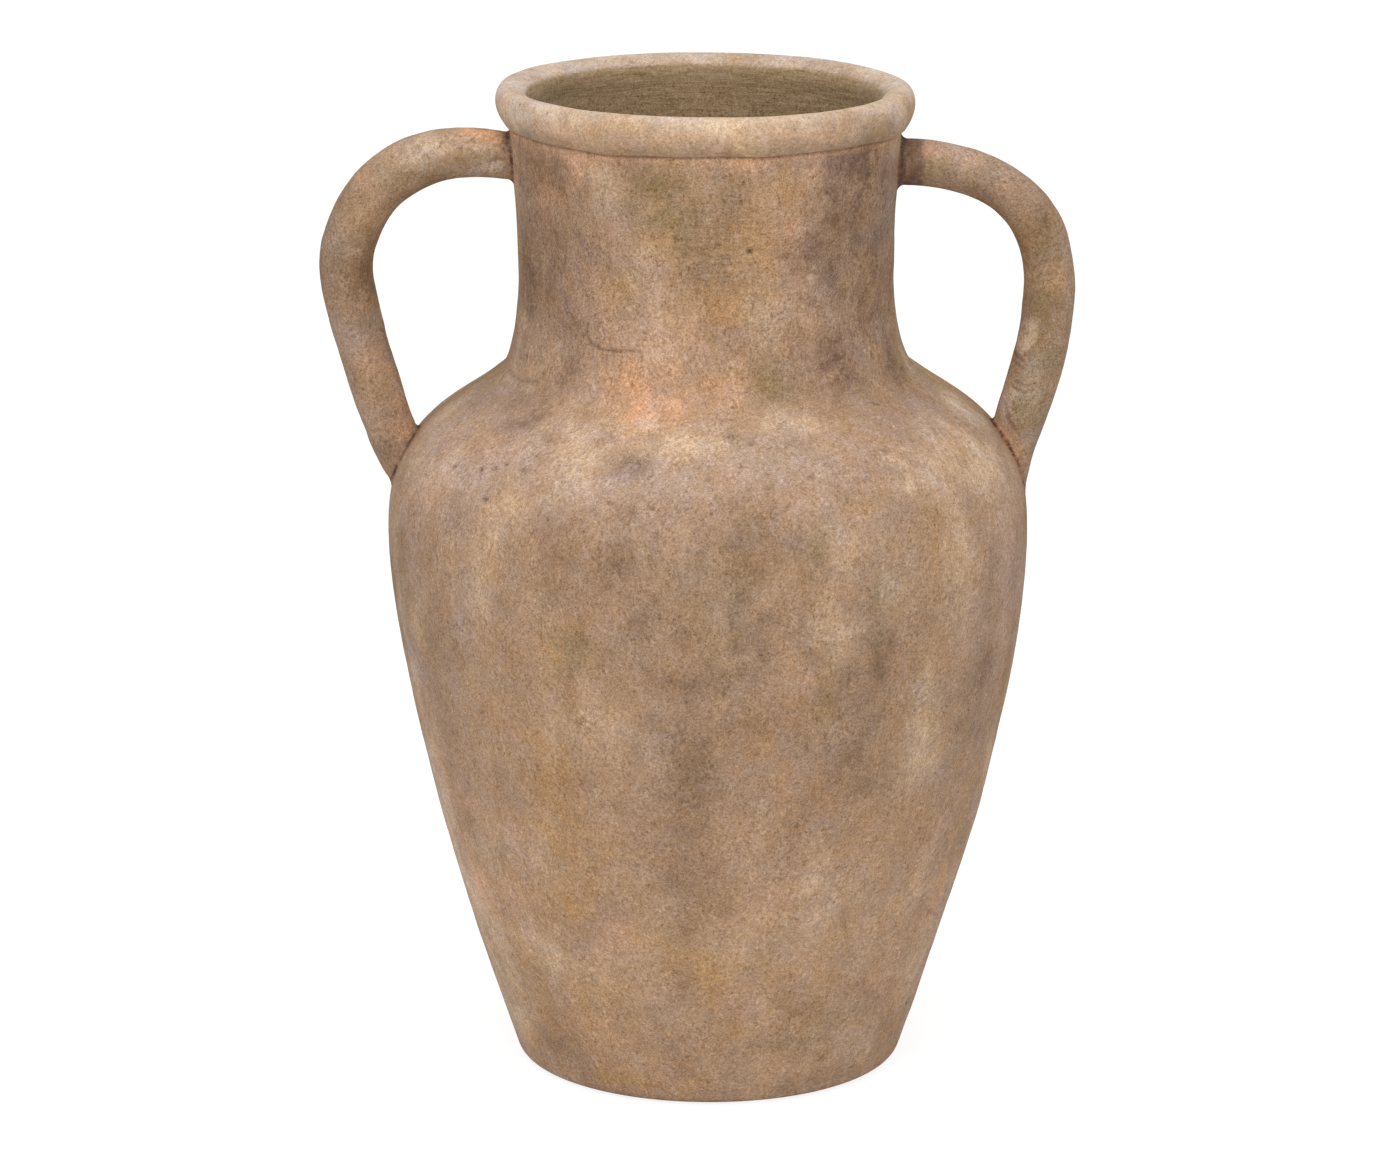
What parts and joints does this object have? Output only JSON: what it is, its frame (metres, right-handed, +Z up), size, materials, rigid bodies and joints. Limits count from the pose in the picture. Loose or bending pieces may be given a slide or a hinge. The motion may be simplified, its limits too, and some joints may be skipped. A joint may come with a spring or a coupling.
{
  "type": "vase",
  "caption": "Tall terracotta vase with a flat foot, full shoulder, straight wide neck, rolled rim and bent side handles; stands as an ornament or holds stems.",
  "frame": {"origin": "centre of the flat foot, on the surface that the vase stands on", "axes": "+Z up along the axis of the vessel; the handles lie in the XZ plane, the right handle towards +X; the pictured side faces -Y"},
  "size_m": [0.3761, 0.3216, 0.4978],
  "materials": {
    "body_clay": "matte fired clay, mottled tan, ochre and violet brown",
    "neck_clay": "matte fired clay, mottled olive ochre and violet brown",
    "rim_clay": "matte fired clay, pale tan",
    "handle_clay": "matte fired clay, pitted, tan and olive",
    "luting_clay": "matte smeared clay, darker in its creases"
  },
  "bodies": {
    "root": {"floor_disc": "body_clay", "corner_coil": "body_clay", "lower_wall": "body_clay", "belly_wall": "body_clay", "shoulder": "body_clay", "neck": "neck_clay", "rim_roll": "rim_clay", "left_handle": "handle_clay", "left_upper_luting": "luting_clay", "left_lower_luting": "luting_clay", "right_handle": "handle_clay", "right_upper_luting": "luting_clay", "right_lower_luting": "luting_clay"}
  },
  "joints": []
}
